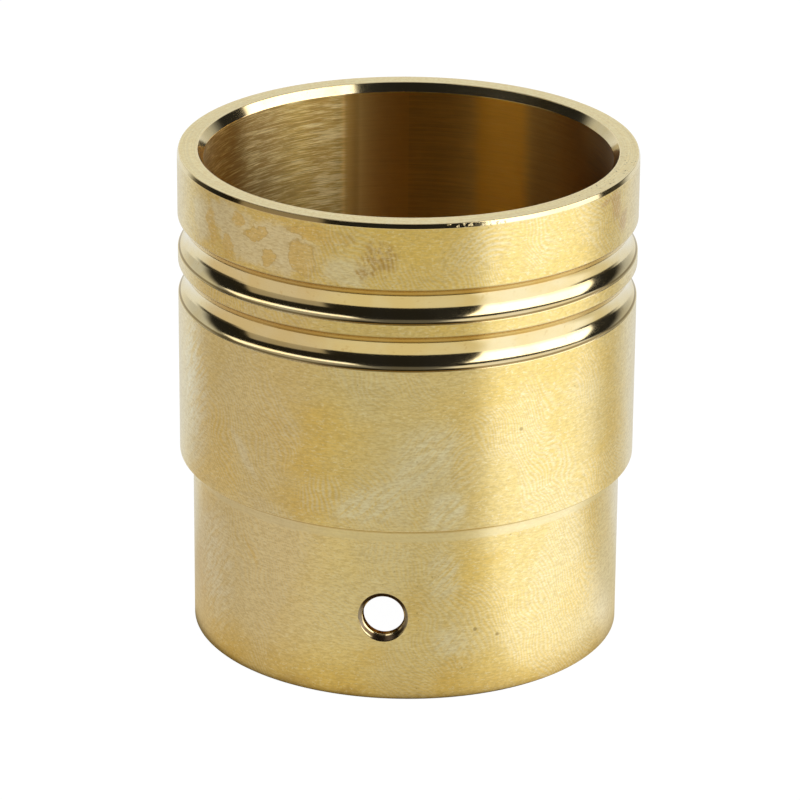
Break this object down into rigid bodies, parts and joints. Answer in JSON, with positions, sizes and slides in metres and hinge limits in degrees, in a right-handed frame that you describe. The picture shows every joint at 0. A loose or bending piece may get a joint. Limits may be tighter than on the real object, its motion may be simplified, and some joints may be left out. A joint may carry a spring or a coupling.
{
  "type": "cylinder sleeve",
  "caption": "Turned brass sleeve with a plain through bore, rounded ring grooves near its mouth, a stepped-down lower end and a small countersunk cross hole.",
  "frame": {"origin": "centre of the bottom face, on the axis of the bore", "axes": "+Z along the bore axis towards the chamfered mouth; the cross hole opens on the -Y side; +X to the right when the hole faces the viewer"},
  "size_m": [0.051, 0.051, 0.0558],
  "materials": {
    "brass": "satin turned outside, polished grooves and chamfers, fine turned lines in the bore"
  },
  "bodies": {
    "root": {"cylinder_sleeve": "brass"}
  },
  "joints": []
}
